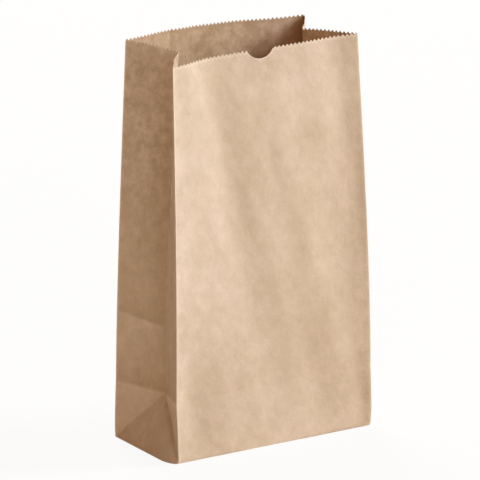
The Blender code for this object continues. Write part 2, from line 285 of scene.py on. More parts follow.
mouth = {
    "teethWide": 48,
    "teethSide": 29,
    "toothDepth": 0.0016,
    "notchWidth": 0.0205,
    "notchDepth": 0.0069,
    "notchOffset": -0.0007,
    "notchColumns": 30,
}
notchRadius = (mouth["notchWidth"] ** 2 / 4 + mouth["notchDepth"] ** 2) / (2 * mouth["notchDepth"])
notchU = halfW + mouth["notchOffset"]

seam = {
    "start": 8,                # in teeth from the left corner of the back
    "teeth": 5,
    "rise": 0.00016,           # how proud the outer layer lies
    "ease": 0.006,             # run over which it comes back to the panel
}
seamPitch = bag["width"] / mouth["teethWide"]
seamOuterU = leftU - seam["start"] * seamPitch
seamInnerU = seamOuterU - seam["teeth"] * seamPitch

relief = {
    "broad": {"height": 0.00050, "length": 0.040, "stretch": 2.2, "seed": 11},    # slow undulation
    "small": {"height": 0.00009, "length": 0.013, "stretch": 1.4, "seed": 23},
    "waveFade": 0.007,         # the waves die out this near to a crease
    "waveFoot": 0.006,         # and this near to the base
    "held": 0.003,             # the pressed lines end this near to a crease
    "imprintRise": 0.00055,    # line left by the base when the bag lay flat
    "imprintRuns": (0.022, 0.010),     # the runs over which a raised line climbs and falls
    "imprintHeight": 0.0925,
    "imprintTilt": 0.0035,
    "foldRise": 0.00070,       # the paper stands proud along the fold above the base
    "foldRuns": (0.024, 0.012),
    "seamRise": 0.00090,       # and the back along the inner edge of its seam
    "seamRuns": (0.014, 0.018),
    "seamFoot": 0.05,
    "seamGrowth": 0.12,
    "hollow": 0.00060,         # the front sinks beside its corner creases
    "hollowReach": 0.0150,
    "rightHollow": 2.4,        # the right one this many times as deep, most of it lost towards the mouth
    "hollowLoss": 0.8,
    "hollowTop": 0.19,
    "hollowEnd": 0.06,
    "round": 0.0005,           # how far a crease is rounded
    "gussetRound": 0.0019,
    "gussetReach": 0.008,
    "gussetGrowth": 0.02,
}


# Ridge with a sharp top: the square of a tent that climbs over one run and falls over another.
def ridge(along, place, before, after):
    return np.clip(np.minimum(1 - (place - along) / before, 1 - (along - place) / after), 0.0, 1.0) ** 2


# Hollow beside a crease: distance times a falling exponential, 1 deep at the given reach.
def hollow(distance):
    share = np.clip(distance, 0.0, None) / relief["hollowReach"]
    return share * np.exp(1 - share)


# Height of the imprint line: level on the back, lower towards the gusset creases.
def imprintHeight(u):
    tilt = np.clip(np.minimum(u - rightGussetU, leftGussetU - u) / halfD, 0.0, 1.0)
    return relief["imprintHeight"] + relief["imprintTilt"] * (tilt - 1)


# Out-of-plane relief: broad and small waves that die out at the creases, the imprint of the
# flattened base across the back and the back halves of the sides, the ridge along the fold above
# the base, the seam's ridge, and the hollows of the front.
def surfaceRelief(u, v):
    u = np.mod(u, girth)
    nearCrease = creaseDistance(u)
    fade = (1 - bell(nearCrease, relief["waveFade"])) * (1 - bell(v, relief["waveFoot"]))
    height = np.zeros(u.shape)
    for waves in (relief["broad"], relief["small"]):
        height += fade * waves["height"] * softWaves(u, v, waves["length"], waves["stretch"], waves["seed"])
    held = 1 - bell(nearCrease, relief["held"])
    height += relief["imprintRise"] * ridge(v, imprintHeight(u), *relief["imprintRuns"]) * onRear(u) * held
    height += relief["foldRise"] * ridge(v, bag["fold"], *relief["foldRuns"]) * onSides(u) * held
    grown = smoothStep((v - relief["seamFoot"]) / relief["seamGrowth"])
    height += relief["seamRise"] * ridge(u, seamInnerU, *relief["seamRuns"]) * grown
    kept = 1 - relief["hollowLoss"] * smoothStep((v - relief["hollowTop"]) / relief["hollowEnd"])
    hollows = hollow(u) + relief["rightHollow"] * kept * hollow(rightU - u)
    height -= relief["hollow"] * (u < rightU) * hollows
    return height


# Radius that a crease is rounded by: more at the gusset crease, which was never pressed sharp.
def roundAt(u, v):
    across = np.mod(u, girth)
    away = np.minimum(np.abs(across - rightGussetU), np.abs(across - leftGussetU))
    soft = bell(away, relief["gussetReach"]) * smoothStep((v - bag["fold"]) / relief["gussetGrowth"])
    return relief["round"] + (relief["gussetRound"] - relief["round"]) * soft


# Star of neighbours that a place is averaged with: steps along and up the sheet, in radii, and shares.
roundingStar = [(1, 0, 0.14), (-1, 0, 0.14), (2, 0, 0.04), (-2, 0, 0.04), (0, 1, 0.17), (0, -1, 0.17)]
ownShare = 0.30
normalStep = 0.0008            # the normal is taken between neighbours this far away


# Rounded sheet: the folded sheet averaged over the star, then moved out along its normal by the
# relief and by the layer's own step.
def paperSurface(u, v, step):
    r = roundAt(u, v)
    rv = np.minimum(relief["round"], v)
    point = ownShare * foldedSheet(u, v)
    for du, dv, share in roundingStar:
        point += share * foldedSheet(u + du * r, np.maximum(v + dv * rv, 0.0))
    along = foldedSheet(u + normalStep, v) - foldedSheet(u - normalStep, v)
    up = foldedSheet(u, v + normalStep) - foldedSheet(u, np.maximum(v - normalStep, 0.0))
    normal = np.cross(along, up)
    normal /= np.maximum(np.linalg.norm(normal, axis=-1, keepdims=True), 1e-12)
    return point + normal * (surfaceRelief(u, v) + step)[..., None]


# Height of the rim: a triangle wave of teeth under the cut, with the thumb notch taken out as an arc.
def rimHeight(u):
    u = np.mod(u, girth)
    onSide = ((u >= rightU) & (u < backU)) | (u >= leftU)
    pitch = np.where(onSide, bag["depth"] / mouth["teethSide"], bag["width"] / mouth["teethWide"])
    start = np.select([u < rightU, u < backU, u < leftU], [0.0, rightU, backU], leftU)
    phase = (u - start) / pitch
    tooth = np.abs(2 * (phase - np.floor(phase + 1e-7)) - 1)
    top = cutHeight(u) - mouth["toothDepth"] * tooth
    offset = u - notchU
    inside = np.abs(offset) < mouth["notchWidth"] / 2 + 1e-9
    centre = bag["height"] - bag["cutDrop"] + notchRadius - mouth["notchDepth"]
    arc = centre - np.sqrt(np.maximum(notchRadius ** 2 - offset ** 2, 0.0))
    return np.where(inside, np.minimum(top, arc), top)


wallGrid = {
    "creaseColumns": (-0.0010, -0.0005, 0.0005, 0.0010),       # more columns beside every crease
    "seamColumns": (-0.0006, 0.0004, 0.0009, 0.0018),          # and past both edges of the seam
    "notchGap": 0.0002,        # no tooth stands nearer to the notch
    "narrowest": 0.00012,      # columns nearer to each other than this are one
    "foldRow": 0.0006,         # the first two rows over the fold
    "firstRow": 0.0022,
    "underCut": 0.0100,        # the even rows end this far under the cut
    "rows": 64,
    "imprintBelow": 0.0060,    # finer rows along the imprint
    "imprintAbove": 0.0030,
    "imprintStep": 0.0008,
    "imprintGap": 0.001,
    "rimRows": (0.35, 0.68, 0.94, 1.0),        # the last rows, as shares of the way to the rim
    "rimRoom": 0.004,          # room for them under the notch
    "squeezeFoot": 0.20,       # height from where rows are pressed down to make it
}


# Columns of the wall: every tooth root and tip, a few more at the creases, the seam and the notch.
# They run from the edge of the inner layer, round the whole bag, to the edge of the outer layer.
def wallColumns():
    wide, side = 2 * mouth["teethWide"] + 1, 2 * mouth["teethSide"] + 1
    marks = [np.linspace(0, rightU, wide), np.linspace(rightU, backU, side),
             np.linspace(backU, leftU, wide), np.linspace(leftU, girth, side)]
    u = np.unique(np.concatenate(marks).round(9))
    half = mouth["notchWidth"] / 2
    u = u[np.abs(u - notchU) > half + wallGrid["notchGap"]]
    angle = math.asin(half / notchRadius)
    arc = notchU + notchRadius * np.sin(np.linspace(-angle, angle, mouth["notchColumns"]))
    near = [place + np.array(wallGrid["creaseColumns"]) for place in creaseU]
    past = np.array(wallGrid["seamColumns"])
    near = np.concatenate(near + [seamOuterU + past, seamInnerU - past])
    near = near[(near > 0) & (near < girth)]
    u = np.unique(np.concatenate([u, arc, near]).round(9))
    u = u[np.concatenate([[True], np.diff(u) > wallGrid["narrowest"]])]
    u = u[u < girth - 1e-6]
    before = u[u > seamInnerU - 1e-7] - girth          # inner layer first, carried round
    after = u[u < seamOuterU + 1e-7]
    return np.concatenate([before, after])


# Rows of the wall: as many under the fold as columns in half a side, so that the diagonals run
# through the grid's corners, then even steps to just below the teeth.
def wallRows():
    below = np.linspace(0, bag["fold"], mouth["teethSide"] + 1)
    near = [bag["fold"] + wallGrid["foldRow"]]
    rest = np.linspace(bag["fold"] + wallGrid["firstRow"], bag["height"] - wallGrid["underCut"],
                       wallGrid["rows"])
    line, gap = relief["imprintHeight"], wallGrid["imprintGap"]
    imprint = np.arange(line - wallGrid["imprintBelow"], line + wallGrid["imprintAbove"],
                        wallGrid["imprintStep"])
    rest = rest[(rest < imprint[0] - gap) | (rest > imprint[-1] + gap)]
    return np.sort(np.concatenate([below, near, rest, imprint]))


# Lift of a layer above the panel's line: the outer layer of the seam lies proud of the inner one.
def layerStep(u):
    return seam["rise"] * smoothStep((u - (seamInnerU - seam["ease"])) / seam["ease"]) * (u > 0)


wear = {
    "cornerReach": 0.0011,
    "foldShare": 0.22,         # fainter along the fold above the base, just under it
    "foldBelow": 0.0008,
    "foldReach": 0.0010,
    "seamShare": 0.5,
    "seamReach": 0.0006,
    "rimShare": 0.85,          # pale rim of the front and the left side
    "rimReach": 0.0006,
    "rimShadeShare": 0.4,          # painted shade along the rim of the right side and the back
    "rimShadeReach": 0.0010,
}


# Pale wear: a bell across each corner crease and the seam's edge, a fainter one along the fold above
# the base.
def foldWear(u, v):
    across = np.mod(u, girth)
    corners = np.min([np.abs(across - place) for place in (0.0, rightU, backU, leftU, girth)], axis=0)
    level = bell(v - bag["fold"] + wear["foldBelow"], wear["foldReach"])
    seamEdge = wear["seamShare"] * bell(across - seamOuterU, wear["seamReach"]) * (u > 0)
    worn = np.maximum(bell(corners, wear["cornerReach"]), seamEdge)
    return np.maximum(worn, wear["foldShare"] * level * (onSides(across) | onRear(across)))


# Soft patches of painted shade and painted light, partly the sheet's own uneven tone: place along and up the
# sheet, half sizes, all rounded to 5 mm, and amount.
shadeAndTonePatches = [
    (0.115, 0.080, 0.030, 0.035, -0.60),    # the front's lower right
    (0.130, 0.030, 0.025, 0.020, -0.45),
    (0.100, 0.140, 0.010, 0.030, -0.50),    # the painted shade of a valley right of the middle
    (0.025, 0.030, 0.020, 0.020, -0.35),    # the foot on the left
    (0.005, 0.090, 0.015, 0.050, 0.50),     # pale along the left crease
    (0.035, 0.135, 0.025, 0.045, 0.25),
    (0.065, 0.220, 0.015, 0.030, -0.30),    # a dark band under the notch
    (0.110, 0.240, 0.025, 0.030, 0.25),     # pale upper right
    (0.110, 0.210, 0.010, 0.015, -0.40),    # with painted shade under it
    (0.150, 0.170, 0.005, 0.065, -0.60),    # beside the right crease
    (0.150, 0.020, 0.005, 0.020, -0.60),
    (0.015, 0.190, 0.015, 0.050, 0.25),     # pale upper left
    (0.470, 0.110, 0.020, 0.120, -0.35),    # the front half of the left side, dark below
    (0.465, 0.270, 0.030, 0.025, 1.20),     # and pale at the mouth
    (0.325, 0.255, 0.035, 0.050, -0.85),    # the middle of the back, at the mouth
    (0.260, 0.260, 0.010, 0.025, 0.80),     # and its right end
]


paintedShades = {
    "reachOver": 0.009,        # painted shade over this run above a pressed line, painted light over this one below it
    "reachUnder": 0.018,
    "lineGap": 0.0008,
    "fold": (0.60, 0.45),      # how much painted shade and painted light, at the fold above the base
    "imprint": (0.52, 0.45),   # and at the imprint, away from the creases
    "imprintGap": 0.004,
    "side": 0.42,              # painted shade: the sides are darker, less so towards the mouth
    "sideGain": 0.20,
    "sideFoot": 0.19,
    "sideRun": 0.06,
    "triangle": 0.04,          # painted shade in their bottom triangles, and more under the diagonals
    "diagonal": 0.24,
    "diagonalReach": 0.004,
    "seamInside": 0.55,        # shade past the free edge of the seam's other layer
    "seamOutside": 0.35,
    "seamReach": 0.0012,
}


# Painted shade and painted light, 0.5 where there is none: painted light just under a pressed line and
# painted shade just over it, painted shade on the sides and in their bottom triangles. The soft patches of
# painted shade, painted light and uneven tone come on top.
def paintedShadeTone(u, v):
    across = np.mod(u, girth)
    onSide, behind = onSides(across), onRear(across)

    def paintedLineShade(place, over, under):
        gap = v - place
        above = -over * np.exp(-gap / paintedShades["reachOver"])
        return np.where(gap > 0, above, under * np.exp(gap / paintedShades["reachUnder"])) * (
            1 - bell(gap, paintedShades["lineGap"]))

    tone = paintedLineShade(bag["fold"], *paintedShades["fold"]) * (onSide | behind)
    away = smoothStep(creaseDistance(u) / paintedShades["imprintGap"])
    tone = tone + paintedLineShade(imprintHeight(across), *paintedShades["imprint"]) * behind * away
    # Painted shade on the sides, less of it towards the mouth.
    higher = smoothStep((v - paintedShades["sideFoot"]) / paintedShades["sideRun"])
    tone = tone - onSide * (paintedShades["side"] - paintedShades["sideGain"] * higher)
    for alongAt, upAt, halfAlong, halfUp, amount in shadeAndTonePatches:
        patch = np.exp(-((across - alongAt) / halfAlong) ** 2 - ((v - upAt) / halfUp) ** 2)
        tone = tone + amount * patch * ((across < rightU) == (alongAt < rightU))
    # Painted shade in the sides' bottom triangles, deepest just under the diagonals.
    start = np.where(across < backU + 1e-9, rightU, leftU)
    half = (halfD - np.abs(across - start - halfD)) / halfD    # 0 at the corner crease
    below = half * bag["fold"] - v                             # how far under the diagonal
    under = -paintedShades["triangle"] - paintedShades["diagonal"] * np.exp(-below / paintedShades["diagonalReach"])
    tone = np.where(onSide & (below > 0), under, tone)
    beside = np.where(u < 0, across - seamOuterU, seamInnerU - across)     # past the other layer's edge
    shade = np.where(u < 0, paintedShades["seamInside"], paintedShades["seamOutside"])
    shade = shade * np.exp(-np.maximum(beside, 0.0) / paintedShades["seamReach"])
    tone = tone - shade * (beside > -1e-7)
    return 0.5 + 0.5 * tone


formation = {
    "front": 0.22,             # and this much more at the front's edges
    "frontEdge": 0.20,
    "edgeRun": 0.012,
    "back": (0.32, 0.34),      # at the foot, and what is added towards the mouth
    "sides": (0.36, 0.56),
    "foot": 0.10,
    "growth": 0.14,
    "seamRun": 0.006,
}


# How strongly the formation of the paper shows: most on the sides, towards the mouth.
def mottling(u, v):
    across = np.mod(u, girth)
    edge = smoothStep(np.minimum(across, rightU - across) / formation["edgeRun"])
    onBack = (across > backU) & (across < leftU)
    grown = smoothStep((v - formation["foot"]) / formation["growth"])
    doubled = smoothStep((across - seamInnerU) / formation["seamRun"])     # the seam's layers are smoother
    (backFoot, backGain), (sideFoot, sideGain) = formation["back"], formation["sides"]
    behind = np.where(onBack, backFoot + backGain * grown * (1 - doubled), sideFoot + sideGain * grown)
    return np.where(across < rightU, formation["front"] + formation["frontEdge"] * (1 - edge), behind)


# Mesh of the sheet with its places as UV and its wear, tone and painted shade as attributes. It carries the
# outer face's paper, then that of the cut edge and the inner face's darker copy with painted shade.
def newMesh(name, points, faces, uv, values):
    mesh = bpy.data.meshes.new(name)
    mesh.from_pydata(points.tolist(), [], faces.tolist())
    layer = mesh.uv_layers.new(name="sheetPlace")
    corner = np.empty(len(mesh.loops), np.int64)
    mesh.loops.foreach_get("vertex_index", corner)
    layer.data.foreach_set("uv", uv[corner].astype(np.float32).ravel())
    for key, value in values.items():
        mesh.attributes.new(key, "FLOAT", "POINT").data.foreach_set("value", value.astype(np.float32).ravel())
    mesh.polygons.foreach_set("use_smooth", np.ones(len(mesh.polygons), bool))
    # Free edges are sharp, so that the shading of a face doesn't run over its cut edge.
    edge = np.empty(len(mesh.loops), np.int64)
    mesh.loops.foreach_get("edge_index", edge)
    free = np.bincount(edge, minlength=len(mesh.edges)) == 1
    mesh.attributes.new("sharp_edge", "BOOLEAN", "EDGE").data.foreach_set("value", free)
    for material in (kraftPaper, kraftCut, kraftInsideShaded):
        mesh.materials.append(material)
    mesh.update()
    made = bpy.data.objects.new(name, mesh)
    homeCollection.objects.link(made)
    return made


def giveThickness(piece):
    shell = piece.modifiers.new("paperThickness", "SOLIDIFY")
    shell.thickness = bag["sheet"]
    shell.offset = -1.0
    shell.use_even_offset = False
    shell.material_offset_rim = 1                      # the cut edge
    shell.material_offset = 2                          # the inner face


# Grid faces as triangles: each cell is cut along the diagonal that the rising mask asks for.
def gridTriangles(rows, cols, rising):
    j, i = np.meshgrid(np.arange(rows - 1), np.arange(cols - 1), indexing="ij")
    low, after = j * cols + i, j * cols + i + 1
    high, highAfter = low + cols, after + cols
    rising = np.broadcast_to(rising, low.shape)[..., None]

    def corners(a, b, c):
        return np.stack([a, b, c], -1)

    first = np.where(rising, corners(low, after, highAfter), corners(low, after, high))
    second = np.where(rising, corners(low, highAfter, high), corners(after, highAfter, high))
    return np.concatenate([first.reshape(-1, 3), second.reshape(-1, 3)])


# The whole sheet with its flaps fits into the UV square.
uvSpan = 0.64
uvStart = (-0.14, -0.10)


def sheetUv(u, v):
    return np.stack([(u - uvStart[0]) / uvSpan, (v - uvStart[1]) / uvSpan], -1)


# Materials, all of the same paper; the inner face's is a darker, browner copy, as painted shade.

kraft = {
    "pink": (0.670, 0.508, 0.389),
    "tan": (0.638, 0.484, 0.354),
    "pale": (0.860, 0.710, 0.570),
    "dark": (0.330, 0.215, 0.125),
    "inside": (0.98, 0.875, 0.765),   # painted shade: the inner face is darker and browner by this
    "roughness": 0.78,
    "specular": 0.28,
    "sheen": 0.10,
    "sheenRoughness": 0.55,
    "paintedShadeSwing": 0.24,      # how far the painted shade and light of the pressed lines and soft patches go from the mean
    "streakShare": 0.20,
    "darkFleck": 0.30,
    "paleFleck": 0.60,
    "bumpDistance": 0.0006,
}

# Noise of the paper: scale, detail, roughness and stretch. What has no stretch lies in space, not on
# the sheet.
paperNoise = {
    "patch": (17.0, 2.0, 0.50, (1.0, 0.50, 1.0)),
    "cloud": (62.0, 5.0, 0.60, (1.0, 0.75, 1.0)),
    "fine": (300.0, 3.0, 0.60, (1.0, 0.85, 1.0)),
    "mottle": (78.0, 4.0, 0.72, (1.0, 0.9, 1.0)),
    "streak": (200.0, 3.0, 0.6, (1.0, 0.06, 1.0)),
    "flecks": (520.0, 2.0, 0.50, (1.0, 0.50, 1.0)),
    "fibres": (720.0, 2.0, 0.5, (1.0, 0.40, 1.0)),
    "hue": (45.0, 4.0, 0.6, None),
    "grain": (1500.0, 3.0, 0.6, None),
    "dents": (170.0, 4.0, 0.6, None),
}
toneShares = {"patch": 0.42, "cloud": 0.38, "fine": 0.20}
grainShare = 0.10              # of the fine grain in the height, beside the dents
evenRange = (0.36, 0.64)       # most of a noise lies in it, and becomes 0 to 1
streakRange = (0.3, 0.7)
fleckRange = (0.66, 0.75)      # the highest peaks of a noise are flecks
fibreRange = (0.66, 0.78)


def linkUp(tree, source, target):
    tree.links.new(source, target)


def addNode(tree, kind, place, **values):
    node = tree.nodes.new(kind)
    node.location = place
    for key, value in values.items():
        setattr(node, key, value)
    return node


def setInput(node, name, value):
    node.inputs[name].default_value = value


# Paper grain, used by every paper material: cloudy tone, upright streaks, dark and pale flecks, and
# the height of fibres and small dents.
def buildPaperGrain():
    group = bpy.data.node_groups.new("paperGrain", "ShaderNodeTree")
    face = group.interface
    face.new_socket(name="Fleck Strength", in_out="INPUT", socket_type="NodeSocketFloat")
    for name in ("Cloud", "Mottle", "Hue", "Streak", "Dark Fleck", "Pale Fleck", "Height"):
        face.new_socket(name=name, in_out="OUTPUT", socket_type="NodeSocketFloat")
    into = addNode(group, "NodeGroupInput", (-1200, 0))
    out = addNode(group, "NodeGroupOutput", (900, 0))
    inSpace = addNode(group, "ShaderNodeTexCoord", (-1200, 300)).outputs["Object"]
    onSheet = addNode(group, "ShaderNodeUVMap", (-1200, -300), uv_map="sheetPlace").outputs["UV"]

    def noise(name, place):
        scale, detail, rough, stretch = paperNoise[name]
        where = inSpace
        if stretch:
            mapping = addNode(group, "ShaderNodeMapping", (place[0] - 220, place[1]))
            setInput(mapping, "Scale", stretch)
            linkUp(group, onSheet, mapping.inputs["Vector"])
            where = mapping.outputs["Vector"]
        made = addNode(group, "ShaderNodeTexNoise", place)
        setInput(made, "Scale", scale)
        setInput(made, "Detail", detail)
        setInput(made, "Roughness", rough)
        linkUp(group, where, made.inputs["Vector"])
        return made.outputs["Fac"]

    def remap(value, span, place, smooth=False):
        made = addNode(group, "ShaderNodeMapRange", place)
        made.interpolation_type = "SMOOTHSTEP" if smooth else "LINEAR"
        setInput(made, "From Min", span[0])
        setInput(made, "From Max", span[1])
        linkUp(group, value, made.inputs["Value"])
        return made.outputs["Result"]

    def combine(operation, a, b, place):
        made = addNode(group, "ShaderNodeMath", place, operation=operation)
        for socket, value in zip(made.inputs, (a, b)):
            if isinstance(value, float):
                socket.default_value = value
            else:
                linkUp(group, value, socket)
        return made.outputs[0]

    tone = None
    for name, y in (("patch", 750), ("cloud", 500), ("fine", 250)):
        part = combine("MULTIPLY", noise(name, (-900, y)), toneShares[name], (-650, y))
        tone = part if tone is None else combine("ADD", tone, part, (-450, y))
    linkUp(group, remap(tone, evenRange, (-50, 600)), out.inputs["Cloud"])
    linkUp(group, remap(noise("mottle", (-900, 1000)), evenRange, (-50, 300)), out.inputs["Mottle"])
    linkUp(group, remap(noise("hue", (-900, 0)), evenRange, (-250, 0)), out.inputs["Hue"])
    linkUp(group, remap(noise("streak", (-900, -250)), streakRange, (-250, -250)), out.inputs["Streak"])
    for name, socket, span, y in (("flecks", "Dark Fleck", fleckRange, -500),
                                  ("fibres", "Pale Fleck", fibreRange, -750)):
        peaks = remap(noise(name, (-900, y)), span, (-450, y), smooth=True)
        linkUp(group, combine("MULTIPLY", peaks, into.outputs["Fleck Strength"], (0, y)), out.inputs[socket])
    grain = combine("MULTIPLY", noise("grain", (-900, -1000)), grainShare, (-450, -1000))
    linkUp(group, combine("ADD", grain, noise("dents", (-900, -1250)), (-250, -1100)), out.inputs["Height"])
    return group


paperGrain = buildPaperGrain()


# Kraft paper. Tone is how far the clouds go from the mean, mottle the same for the fine formation.
def kraftMaterial(name, tone=0.060, mottle=0.19, flecks=1.0, wearShare=0.9, paleness=0.0,
                  bumpStrength=0.55, tint=None):
    material = bpy.data.materials.new(name)
    material.use_nodes = True
    tree = material.node_tree
    shader = tree.nodes["Principled BSDF"]
    shader.location = (1300, 0)
    setInput(shader, "Roughness", kraft["roughness"])
    setInput(shader, "Specular IOR Level", kraft["specular"])
    setInput(shader, "Sheen Weight", kraft["sheen"])
    setInput(shader, "Sheen Roughness", kraft["sheenRoughness"])
    grain = addNode(tree, "ShaderNodeGroup", (-900, 0), node_tree=paperGrain)
    setInput(grain, "Fleck Strength", flecks)
    worn, rough, shade = [addNode(tree, "ShaderNodeAttribute", (-900, y), attribute_name=name).outputs["Fac"]
                          for name, y in (("foldWear", -400), ("mottling", -600), ("paintedShadeTone", -800))]

    def mix(a, b, share, place, blend="MIX"):
        node = addNode(tree, "ShaderNodeMix", place, data_type="RGBA", blend_type=blend)
        node.clamp_result = False
        colours = [socket for socket in node.inputs if socket.type == "RGBA"]
        for socket, value in zip(colours, (a, b)):
            if isinstance(value, tuple):
                socket.default_value = value + (1.0,)
            else:
                linkUp(tree, value, socket)
        factor = [socket for socket in node.inputs if socket.name == "Factor" and socket.type == "VALUE"][0]
        if isinstance(share, float):
            factor.default_value = share
        else:
            linkUp(tree, share, factor)
        return [socket for socket in node.outputs if socket.type == "RGBA"][0]

    def scaled(source, amount, place):
        node = addNode(tree, "ShaderNodeMath", place, operation="MULTIPLY")
        node.inputs[1].default_value = amount
        linkUp(tree, source, node.inputs[0])
        return node.outputs[0]

    # A tone round 1 that the colour is multiplied by. Darker paper is also browner.
    def swing(mask, amount, place):
        share = (1.0, 1.2, 1.6)
        return mix(tuple(1 - amount * k for k in share), tuple(1 + amount * k for k in share), mask, place)

    colour = mix(kraft["tan"], kraft["pink"], grain.outputs["Hue"], (-600, 300))
    if tint:
        colour = mix(colour, tint, 1.0, (-500, 300), "MULTIPLY")
    colour = mix(colour, swing(grain.outputs["Cloud"], tone, (-600, 0)), 1.0, (-400, 300), "MULTIPLY")
    speckled = mix(colour, swing(grain.outputs["Mottle"], mottle, (-400, 0)), 1.0, (-300, 300), "MULTIPLY")
    colour = mix(colour, speckled, rough, (-200, 300))
    # Painted shade and painted light from the attribute: the pressed lines, the sides, the rims, the seam's
    # edges and the soft patches.
    colour = mix(colour, swing(shade, kraft["paintedShadeSwing"], (-200, 0)), 1.0, (-100, 300), "MULTIPLY")
    for step, (mask, amount, towards) in enumerate((
            (grain.outputs["Streak"], kraft["streakShare"], kraft["tan"]),
            (grain.outputs["Dark Fleck"], kraft["darkFleck"], kraft["dark"]),
            (grain.outputs["Pale Fleck"], kraft["paleFleck"], kraft["pale"]),
            (worn, wearShare, kraft["pale"]))):
        colour = mix(colour, towards, scaled(mask, amount, (200 * step - 200, 60)), (200 * step, 300))
    if paleness:
        colour = mix(colour, kraft["pale"], paleness, (800, 300))
    linkUp(tree, colour, shader.inputs["Base Color"])
    bump = addNode(tree, "ShaderNodeBump", (1000, -300))
    setInput(bump, "Strength", bumpStrength)
    setInput(bump, "Distance", kraft["bumpDistance"])
    linkUp(tree, grain.outputs["Height"], bump.inputs["Height"])
    linkUp(tree, bump.outputs["Normal"], shader.inputs["Normal"])
    return material


kraftPaper = kraftMaterial("kraftPaper")
kraftCut = kraftMaterial("kraftCutEdge", paleness=0.6)
# The inner face: a darker, browner copy of the paper, painted shade for the inside of the bag.
kraftInsideShaded = kraftMaterial("kraftInsideShaded", tone=0.08, mottle=0.24, flecks=1.3, wearShare=0.1,
                            bumpStrength=0.8, tint=kraft["inside"])
print("materials ready")


def buildWall():
    columns, rows = wallColumns(), wallRows()
    rim = rimHeight(columns)
    top, foot = rows[-1], wallGrid["squeezeFoot"]
    # Rows near the mouth are pressed down under the notch, so that none of them crosses the rim.
    room = np.where(rim < top + wallGrid["rimRoom"], (rim - wallGrid["rimRoom"]) / top, 1.0)
    squeeze = smoothStep((rows - foot) / (top - foot))[:, None]
    v = rows[:, None] * (1 + squeeze * (room - 1)[None, :])
    v = np.vstack([v] + [v[-1] + (rim - v[-1]) * share for share in wallGrid["rimRows"]])
    u = np.repeat(columns[None, :], len(v), 0)
    points = paperSurface(u, v, layerStep(u))
    middle = np.mod((columns[:-1] + columns[1:]) / 2, girth)
    rising = ((middle > rightU) & (middle < rightGussetU)) | (middle > leftU) & (middle < leftGussetU)
    faces = gridTriangles(len(v), len(columns), rising[None, :])
    across = np.mod(u, girth)
    # The rim of the right side and the back gets painted shade, that of the front and the left side pale
    # wear.
    shadedRim = (across > rightU) & (across < leftU)
    atRim = bell(rimHeight(u) - v, np.where(shadedRim, wear["rimShadeReach"], wear["rimReach"]))
    values = {"foldWear": np.maximum(foldWear(u, v), wear["rimShare"] * atRim * (1 - shadedRim)),
              "paintedShadeTone": paintedShadeTone(u, v) - wear["rimShadeShare"] * atRim * shadedRim,
              "mottling": mottling(u, v)}
    wall = newMesh("bagWall", points.reshape(-1, 3), faces, sheetUv(u, v).reshape(-1, 2), values)
    giveThickness(wall)
    return wall


bagWall = buildWall()
print("wall:", len(bagWall.data.polygons), "triangles before thickness")


# The folded base.

base = {
    "lap": 0.0190,             # overlap of the front and back flaps
    "level": 0.00014,          # step from one layer to the next
    "levelRun": 0.06,          # share of a flap over which it comes to its level
    "wave": 0.00006,           # the upper flaps are a little uneven
    "waveLength": 0.02,
    "waveSeed": 5,
    "waveRun": 0.2,
    "wearShare": 0.7,          # pale wear at the fold line and at the free edge
    "foldReach": 0.0012,
    "edgeReach": 0.0007,
    "cells": (96, 44),
}
flapReach = halfD + base["lap"] / 2


# A flap: rows run from its fold line (0) to its free edge (1), each given by its two ends. It comes to
# its level near the fold line. The corner of the fold line at the back is where a side's bulge starts.
def flapPatch(name, foldLine, freeEdge, level, uvOf, bulgeSide=0):
    s, t = np.meshgrid(*(np.linspace(0, 1, count + 1) for count in base["cells"]))
    foot = lerp(*np.array(foldLine), s)
    free = lerp(*np.array(freeEdge), s)
    if bulgeSide:
        place = s if foldLine[0][1] > foldLine[1][1] else 1 - s
        foot[..., 0] += bulgeSide * sideBulge(bulgeSide, place)
    flat = lerp(foot, free, t)
    x, y = flat[..., 0], flat[..., 1]
    z = level * smoothStep(t / base["levelRun"])
    if level > 0:
        uneven = base["wave"] * (1 + softWaves(x, y, base["waveLength"], 1.0, base["waveSeed"]))
        z = z + uneven * smoothStep(t / base["waveRun"])
    points = np.stack([x, y, z], -1).reshape(-1, 3)
    faces = gridTriangles(*s.shape, False)
    a, b, c = points[faces[0]]
    if np.cross(b - a, c - a)[2] > 0:                  # the outer face looks down
        faces = faces[:, ::-1]
    worn = np.maximum(bell(t * flapReach, base["foldReach"]), bell((1 - t) * flapReach, base["edgeReach"]))
    even = np.full(t.shape, 0.5)
    values = {"foldWear": base["wearShare"] * worn, "paintedShadeTone": even, "mottling": even}
    piece = newMesh(name, points, faces, uvOf(x, y).reshape(-1, 2), values)
    giveThickness(piece)
    return piece


def buildBase():
    lap, step, inner = base["lap"] / 2, base["level"], halfW - flapReach
    back = flapPatch("baseFlapBack", [(halfW, halfD), (-halfW, halfD)], [(inner, -lap), (-inner, -lap)],
                     0.0, lambda x, y: sheetUv(backU + halfW - x, y - halfD))
    front = flapPatch("baseFlapFront", [(-halfW, -halfD), (halfW, -halfD)], [(-inner, lap), (inner, lap)],
                      step, lambda x, y: sheetUv(x + halfW, -y - halfD))
    right = flapPatch("baseFlapRight", [(halfW, -halfD), (halfW, halfD)], [(inner, -halfD), (inner, halfD)],
                      2 * step, lambda x, y: sheetUv(rightGussetU + y, x - halfW), 1)
    left = flapPatch("baseFlapLeft", [(-halfW, halfD), (-halfW, -halfD)], [(-inner, halfD), (-inner, -halfD)],
                     2 * step, lambda x, y: sheetUv(leftGussetU - y, -x - halfW), -1)
    return [back, front, right, left]


baseFlaps = buildBase()
print("base: four flaps")

for piece in [bagWall] + baseFlaps:
    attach(piece, "root")
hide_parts("paper_bag")

# Floor, camera and light.

